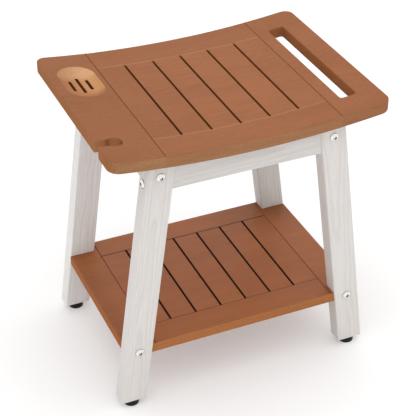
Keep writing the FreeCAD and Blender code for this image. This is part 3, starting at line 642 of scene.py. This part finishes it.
# %% [markdown]
# ## The end board with the hand slot
# The right end board has a long slot to lift the bench by. Its cut walls get a painted shade, a little darker
# than the outer edges. They point the same ways as those, so the direction of a face can't tell them apart. A
# mask picks them out by place instead.

# %% The end board with the hand slot
SLOT_AREA = {"X": (0.1516, 0.1807), "Y": (-0.1202, 0.1202)}
SLOT_WALL_SHADE = paint(161, 105, 66)
RIGHT_END = {**SEAT, "edge": paint(166, 114, 81)}


def inside_area(tree, area):
    """1 over an area that is given by its start and end along X and Y."""
    place = split(tree, object_point(tree))
    result = 1.0
    for axis, (start, end) in area.items():
        result = calculate(tree, "MULTIPLY", result, calculate(tree, "GREATER_THAN", place[axis], start))
        result = calculate(tree, "MULTIPLY", result, calculate(tree, "LESS_THAN", place[axis], end))
    return result


def stain_right_end():
    """Stains the end board with the hand slot, with painted shade on the slot's walls."""
    material, tree, shader = new_material("stain_seat_end_right", **{"Specular IOR Level": SEAT["sheen"]})
    sides = blend(tree, inside_area(tree, SLOT_AREA), sawn(tree, RIGHT_END), SLOT_WALL_SHADE)
    board = blend(tree, faces_along(tree, "Z"), sides, face_tone("seat_end_board_right", SEAT))
    lay_stain(tree, shader, board, board_grain(tree, RIGHT_END_NUMBER), SEAT)
    dress(["seat_end_board_right"], material)


stain_right_end()
print("slot walls lie between", SLOT_AREA["X"], "along X")

# %% [markdown]
# ## The keyhole notch
# The left end board has a notch like a keyhole, open to the left edge. Its walls are darkest in the corner
# between the neck and the round hole, and at the far tip of the hole. Light alone would shade them less than
# on the real bench, so a mask along X lays a painted shade there.

# %% The keyhole notch
KEYHOLE_AREA = {"X": (-0.2095, -0.1727), "Y": (-0.1202, -0.0962)}
KEYHOLE_WALL = paint(172, 118, 80)
KEYHOLE_CORNER_SHADE = paint(147, 99, 63)
KEYHOLE_NECK_END = -0.1922
NECK_FADE = (0.006, 0.001)
KEYHOLE_TIP_FADE = (-0.1785, -0.1735)


def keyhole_tone(tree):
    """The colour of the notch's walls, with painted shade in its corner and at its tip."""
    place = split(tree, object_point(tree))["X"]
    from_neck = calculate(tree, "ABSOLUTE", calculate(tree, "SUBTRACT", place, KEYHOLE_NECK_END))
    neck = soft_step(tree, from_neck, *NECK_FADE)
    tip = soft_step(tree, place, *KEYHOLE_TIP_FADE)
    return blend(tree, calculate(tree, "MAXIMUM", neck, tip), KEYHOLE_WALL, KEYHOLE_CORNER_SHADE)


print("neck of the keyhole ends at", KEYHOLE_NECK_END)

# %% [markdown]
# ## The soap dish
# The dish is a shallow bowl of almost bare wood with three drains. Painted light makes its back and right
# walls palest, and painted shade darkens it towards the front and the left and deep in the drains. It could
# be a piece of its own, but it is carved into the left end board, so masks in that board's material find it.
# It lies square to the curved seat, so the masks work in coordinates that are turned and moved with it, where
# a height tells the drains from the bowl.

# %% The soap dish
DISH_CENTRE = Vector((-0.1689, 0.0743, 0.4449))
DISH_TILT = math.radians(6.01)
DISH_RADIUS = 0.0289
DISH_STRAIGHT = 0.0205
DISH_DEPTH = 0.007
DISH_RIM = -0.0001
DISH_RIGHT_FADE = (-0.024, 0.024)
DISH_BACK_FADE = (0.01, 0.034)
DISH_LIP_FADE = (-0.013, -0.042)
DRAIN_FADE = (-DISH_DEPTH - 0.0003, -DISH_DEPTH - 0.0008)
# Painted light and shade: pale where the bowl's walls face the light, darker where they face away and in the
# drains.
DISH_BACK_PAINTED_LIGHT = (paint(188, 141, 102), paint(215, 168, 125))
DISH_FRONT_LIGHT_AND_SHADE = (paint(174, 119, 80), paint(202, 148, 101))
DISH_LIP_SHADE = paint(170, 114, 75)
DRAIN_WALL_SHADE = paint(108, 66, 41)


def dish_place(tree):
    """X, Y and Z in the dish's own turned coordinates."""
    turned = {"Vector": object_point(tree), "Location": DISH_CENTRE, "Rotation": (0, DISH_TILT, 0)}
    return split(tree, add_node(tree, "Mapping", turned, vector_type="TEXTURE").outputs[0])


def inside_dish(tree, place):
    """1 inside the dish's long rounded outline and below its rim."""
    beyond = calculate(tree, "SUBTRACT", calculate(tree, "ABSOLUTE", place["Y"]), DISH_STRAIGHT)
    beyond = calculate(tree, "MAXIMUM", beyond, 0.0)
    squares = [calculate(tree, "MULTIPLY", value, value) for value in (place["X"], beyond)]
    from_middle = calculate(tree, "SQRT", calculate(tree, "ADD", *squares))
    outline = calculate(tree, "LESS_THAN", from_middle, DISH_RADIUS)
    return calculate(tree, "MULTIPLY", outline, calculate(tree, "LESS_THAN", place["Z"], DISH_RIM))


def dish_tone(tree, place):
    """The bowl's wood with painted light at its back and right and painted shade at its front, left and
    drains.
    """
    right = soft_step(tree, place["X"], *DISH_RIGHT_FADE)
    back = soft_step(tree, place["Y"], *DISH_BACK_FADE)
    bowl = blend(tree, back, blend(tree, right, *DISH_FRONT_LIGHT_AND_SHADE), blend(tree, right, *DISH_BACK_PAINTED_LIGHT))
    bowl = blend(tree, soft_step(tree, place["Y"], *DISH_LIP_FADE), bowl, DISH_LIP_SHADE)
    return blend(tree, soft_step(tree, place["Z"], *DRAIN_FADE), bowl, DRAIN_WALL_SHADE)


print("soap dish at", [round(value, 3) for value in DISH_CENTRE])

# %% [markdown]
# ## The end board with the notch and the dish
# The left end board is finished like the right one, with the notch's tone on its cut walls. The dish could
# be told by where its faces point, but a bowl's faces point every way. So its tone is laid over the board
# last, by place alone.

# %% The end board with the notch and the dish
LEFT_END = {**SEAT, "edge": paint(171, 125, 88)}


def stain_left_end():
    """Stains the end board with the soap dish and the keyhole notch, and counts its nodes."""
    material, tree, shader = new_material("stain_seat_end_left", **{"Specular IOR Level": SEAT["sheen"]})
    sides = blend(tree, inside_area(tree, KEYHOLE_AREA), sawn(tree, LEFT_END), keyhole_tone(tree))
    board = blend(tree, faces_along(tree, "Z"), sides, face_tone("seat_end_board_left", SEAT))
    place = dish_place(tree)
    board = blend(tree, inside_dish(tree, place), board, dish_tone(tree, place))
    lay_stain(tree, shader, board, board_grain(tree, LEFT_END_NUMBER), SEAT)
    dress(["seat_end_board_left"], material)
    return len(tree.nodes)


print("nodes in the material of the left end board:", stain_left_end())

# %% [markdown]
# ## White wash
# Legs, aprons and side rails are painted with a thin white wash over open-grained wood. The paint sinks into
# the grain, so the lines show as shallow grooves that are a little greyer. The back left leg is painted
# lighter and the back right leg darker, as painted light and painted shade, and the front apron is a little
# greyer. Plain white paint would be one colour. Here the same grain group as on the boards gives the
# grooves, both as a tone and as a relief.

# %% White wash
WASH = paint(221, 217, 214)
# Painted light on the back left leg and painted shade on the back right leg; the front apron is a little
# greyer.
WASH_PAINTED_LIGHT_AND_TONE = {
    "leg_back_left": paint(234, 233, 231), "leg_back_right": paint(210, 208, 204),
    "apron_front": paint(216, 213, 210),
}
WASH_IN_GROOVES = paint(176, 169, 162)
WASH_DEPTHS = {"Rings": 0.18, "Fibres": 0.16, "Pores": 0.22, "Clouds": 0.09}
WASH_RING_SPACING = 0.0033
WASH_FIBRE_WIDTH = 0.0014
WASH_SHEEN = 0.3
WASH_ROUGHNESS = (0.5, 0.65)
WASH_RELIEF = (0.4, 0.0003)
FIBRE_GROOVE = 0.6


def white_wash(name, turn, pith):
    """The finish of one white-washed piece, with its grain turned along it."""
    material, tree, shader = new_material("white_wash_" + name, **{"Specular IOR Level": WASH_SHEEN})
    grain = grain_at(tree, pith, turn, WASH_RING_SPACING, WASH_FIBRE_WIDTH)
    colour = WASH_PAINTED_LIGHT_AND_TONE.get(name, WASH)
    for output, depth in WASH_DEPTHS.items():
        colour = blend(tree, calculate(tree, "MULTIPLY", grain[output], depth), colour, WASH_IN_GROOVES)
    tree.links.new(colour, shader.inputs["Base Color"])
    tree.links.new(spread(tree, grain["Fibres"], *WASH_ROUGHNESS), shader.inputs["Roughness"])
    grooves = calculate(tree, "ADD", grain["Rings"], grain["Pores"])
    grooves = calculate(tree, "ADD", grooves, calculate(tree, "MULTIPLY", grain["Fibres"], FIBRE_GROOVE))
    add_relief(tree, shader, grooves, *WASH_RELIEF, invert=True)
    dress([name], material)


print("washed pieces lighter or darker than the rest:", len(WASH_PAINTED_LIGHT_AND_TONE))

# %% [markdown]
# ## Grain along each washed piece
# The grain runs along a piece, and the pieces lie in three directions: legs stand and lean, each side its
# own way, aprons run along X and side rails along Y. Each direction could have a grain group of its own. It
# is simpler to turn the coordinates along each piece, and a small extra tilt makes the lines differ.

# %% Grain along each washed piece
LEG_LEAN = math.radians(7.66)
QUARTER = math.radians(90)
WASH_TILT = 0.012
WASH_SKEW = 0.02
PITH_ACROSS = 0.03
PITH_ACROSS_STEP = 0.004
PITH_BEHIND = 0.006


def pith_for(name, turn, across, behind):
    """A place for the rings' centre line, measured from the middle of a piece, in its turned coordinates."""
    low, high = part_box(name)
    middle = (low + high) / 2
    middle.rotate(Euler(turn))
    return Vector((0.0, across, behind)) - middle


wash_turns = {}
for side, lean in (("left", -LEG_LEAN), ("right", LEG_LEAN)):
    for end in ("front", "back"):
        wash_turns["leg_%s_%s" % (end, side)] = (0.0, QUARTER + lean, 0.0)
for side in ("front", "back"):
    wash_turns["apron_" + side] = (0.0, 0.0, 0.0)
for side in ("left", "right"):
    wash_turns["side_rail_" + side] = (0.0, 0.0, -QUARTER)
for number, (name, (roll, pitch, yaw)) in enumerate(wash_turns.items()):
    turn = (roll, pitch + WASH_TILT * math.cos(number), yaw + WASH_SKEW * math.sin(1.9 * number + 1))
    across = PITH_ACROSS + PITH_ACROSS_STEP * (number % 3)
    white_wash(name, turn, pith_for(name, turn, across, PITH_BEHIND * math.sin(2.3 * number)))
print("white-washed pieces:", len(wash_turns))

# %% [markdown]
# ## Steel and brass
# Bolts, nuts and screws are plated steel: a mirror that has been handled, so its shine varies a little. The
# rim of a bolt's head and the walls of its socket get a painted shade, darkest on the side bolts. Those
# faces could be painted one by one. They are the ones that don't look along the bolt, so the material only
# has to ask for the bolt's direction. Inserts are turned brass.

# %% Steel and brass
STEEL = (0.9, 0.87, 0.84, 1.0)
BOLT_SHADE = {"Y": (0.24, 0.22, 0.2, 1.0), "X": (0.006, 0.005, 0.005, 1.0)}
BOLT_SHADE_TURN = (0.3, 0.6)
BRASS = (0.8, 0.62, 0.3, 1.0)
DULL_SHARE = 0.88
METAL_CLOUD_SCALE = 700.0
STEEL_ROUGHNESS = (0.16, 0.3)
BOLT_ROUGHNESS = (0.12, 0.25)
BRASS_ROUGHNESS = (0.25, 0.4)


def metal(name, colour, roughness_range, along=None):
    """Metal with a shine that varies in fine clouds, with painted shade on faces that don't look along an
    axis.
    """
    material, tree, shader = new_material(name, Metallic=1.0)
    clouds = fine_noise(tree, METAL_CLOUD_SCALE, 4.0)
    tree.links.new(spread(tree, clouds, *roughness_range, *NOISE_MIDDLE), shader.inputs["Roughness"])
    dull = tuple(value * DULL_SHARE for value in colour[:3]) + (1.0,)
    shown = blend(tree, clouds, colour, dull)
    if along:
        # Painted shade on the faces that don't look along the bolt.
        shown = blend(tree, faces_along(tree, along, BOLT_SHADE_TURN), BOLT_SHADE[along], shown)
    tree.links.new(shown, shader.inputs["Base Color"])
    return material


PLATED = metal("plated_steel", STEEL, STEEL_ROUGHNESS)
dress(["face_bolts", "shelf_bolts"], metal("plated_bolts_front", STEEL, BOLT_ROUGHNESS, "Y"))
dress(["side_bolts"], metal("plated_bolts_side", STEEL, BOLT_ROUGHNESS, "X"))
dress(["face_barrel_nuts", "side_barrel_nuts", "shelf_barrel_nuts", "seat_screws"], PLATED)
dress(["foot_inserts"], metal("turned_brass", BRASS, BRASS_ROUGHNESS))
print("metals:", [made.name for made in bpy.data.materials if "plated" in made.name or "brass" in made.name])

# %% [markdown]
# ## Plastic and dowels
# The foot pads are moulded black plastic with a fine even texture, and the dowels inside the joints are plain
# hardwood. The texture could be modelled, but it is far smaller than a pixel, so a relief in the material is
# enough. The dowels take their grain from the same group as the boards.

# %% Plastic and dowels
CORNERS = ("front_left", "front_right", "back_left", "back_right")
PLASTIC_TONES = (paint(4, 4, 5), paint(18, 18, 19))
PLASTIC_SPECKLE_SCALE = 1500.0
PLASTIC_SHEEN = 0.25
PLASTIC_ROUGHNESS = (0.35, 0.6)
PLASTIC_RELIEF = (0.3, 0.0001)
DOWEL_TONES = (paint(214, 176, 128), paint(188, 144, 96))
DOWEL_FINISH = {"Specular IOR Level": 0.3, "Roughness": 0.6}
DOWEL_PITH = (0.0, 0.0, -0.3)
DOWEL_TURN = (0.0, 0.01, 0.0)
DOWEL_RING_SPACING = 0.003
DOWEL_FIBRE_WIDTH = 0.0008


def black_plastic():
    """Moulded plastic with a fine even texture."""
    material, tree, shader = new_material("black_plastic", **{"Specular IOR Level": PLASTIC_SHEEN})
    speckle = fine_noise(tree, PLASTIC_SPECKLE_SCALE, 3.0)
    tree.links.new(blend(tree, speckle, *PLASTIC_TONES), shader.inputs["Base Color"])
    tree.links.new(spread(tree, speckle, *PLASTIC_ROUGHNESS), shader.inputs["Roughness"])
    add_relief(tree, shader, speckle, *PLASTIC_RELIEF)
    return material


def dowel_wood():
    """Plain hardwood for the dowels."""
    material, tree, shader = new_material("dowel_wood", **DOWEL_FINISH)
    grain = grain_at(tree, DOWEL_PITH, DOWEL_TURN, DOWEL_RING_SPACING, DOWEL_FIBRE_WIDTH)
    tree.links.new(blend(tree, grain["Fibres"], *DOWEL_TONES), shader.inputs["Base Color"])
    return material


dress(["seat_dowels", "shelf_dowels", "frame_dowels"], dowel_wood())
dress(["foot_pad_" + corner for corner in CORNERS], black_plastic())
print("foot pads:", len(CORNERS))

# %% [markdown]
# ## Threads on the feet
# Each foot screws into its leg on a steel stud. The frame has the stud as a smooth rod, and when a foot is
# screwed out a little of it shows, so it gets a real thread. A relief in the material would leave its outline
# straight. A thread is one small V that turns and climbs: the outline of a single turn is spun round the axis
# and lifted by one pitch with each turn, so that every turn meets the next. The ends are cut square and
# closed.

# %% Threaded rod
PITCH = 0.00125
THREAD_DEPTH = 0.00062
STEPS_PER_TURN = 24
MERGE_DISTANCE = 1e-6
CUT_DISTANCE = 1e-7


def thread_outline(bm, outer, start):
    """The outline of one turn of the thread: its vertices and the edges between them."""
    root = outer - THREAD_DEPTH
    points = [(root, 0.0), (root, 0.12), (outer, 0.48), (outer, 0.64), (root, 1.0)]
    chain = [bm.verts.new((radius, 0.0, start + share * PITCH)) for radius, share in points]
    return chain + [bm.edges.new(pair) for pair in zip(chain, chain[1:])]


def threaded_rod(bm, outer, low, high):
    """A rod with a thread along its whole length, closed at both ends."""
    turns = math.ceil((high - low) / PITCH) + 2
    outline = thread_outline(bm, outer, low - PITCH)
    bmesh.ops.spin(bm, geom=outline, cent=(0, 0, 0), axis=(0, 0, 1), dvec=(0, 0, PITCH / STEPS_PER_TURN),
                   angle=turns * math.tau, steps=turns * STEPS_PER_TURN)
    bmesh.ops.remove_doubles(bm, verts=bm.verts, dist=MERGE_DISTANCE)
    for height, direction in ((low, -1), (high, 1)):
        everything = bm.verts[:] + bm.edges[:] + bm.faces[:]
        bmesh.ops.bisect_plane(bm, geom=everything, dist=CUT_DISTANCE, plane_co=(0, 0, height),
                               plane_no=(0, 0, direction), clear_outer=True)
        bmesh.ops.holes_fill(bm, edges=[edge for edge in bm.edges if edge.is_boundary], sides=0)
    bmesh.ops.recalc_face_normals(bm, faces=bm.faces)


print("turns in a centimetre of thread:", round(0.01 / PITCH, 1))

# %% [markdown]
# ## Flange and studs
# The stud ends in a flat flange that the pad swivels on. It is a disc with bevelled rims, set below the
# rod. The two could be joined face by face, but closed shapes that touch look the same and are simpler. The
# finished stud rides on the moving stud of the frame and takes the place of its smooth rod.

# %% Flange and studs
STUD_RADIUS = 0.004
THREAD_EASE = 0.00003
FLANGE_RADIUS = 0.0075
FLANGE_HEIGHT = 0.003
FLANGE_SEGMENTS = 48
FLANGE_BEVEL = 0.0003
SHARP_ANGLE = math.radians(35)


def add_flange(bm, low):
    """A bevelled disc round the foot of the rod."""
    middle = Matrix.Translation((0, 0, low + FLANGE_HEIGHT / 2))
    made = bmesh.ops.create_cone(bm, cap_ends=True, segments=FLANGE_SEGMENTS, radius1=FLANGE_RADIUS,
                                 radius2=FLANGE_RADIUS, depth=FLANGE_HEIGHT, matrix=middle)
    verts = set(made["verts"])
    rim = [edge for edge in bm.edges if set(edge.verts) <= verts and len({v.co.z for v in edge.verts}) == 1]
    bmesh.ops.bevel(bm, geom=rim, offset=FLANGE_BEVEL, segments=2, profile=0.5, affect="EDGES", material=-1)


def make_stud(corner):
    """The threaded stud of one foot."""
    low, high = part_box("foot_stud_" + corner)
    mesh = bpy.data.meshes.new("threaded_stud_" + corner)
    bm = bmesh.new()
    threaded_rod(bm, STUD_RADIUS - THREAD_EASE, low.z + FLANGE_HEIGHT, high.z)
    add_flange(bm, low.z)
    for face in bm.faces:
        face.smooth = True
    for edge in bm.edges:
        edge.smooth = edge.calc_face_angle(0.0) < SHARP_ANGLE
    bmesh.ops.translate(bm, verts=bm.verts, vec=((low.x + high.x) / 2, (low.y + high.y) / 2, 0))
    bm.to_mesh(mesh)
    bm.free()
    mesh.materials.append(PLATED)
    stud = bpy.data.objects.new("threaded_stud_" + corner, mesh)
    bpy.context.scene.collection.objects.link(stud)
    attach(stud, "stud_" + corner)
    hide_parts("foot_stud_" + corner)
    return len(mesh.polygons)


print("faces on each threaded stud:", [make_stud(corner) for corner in CORNERS])
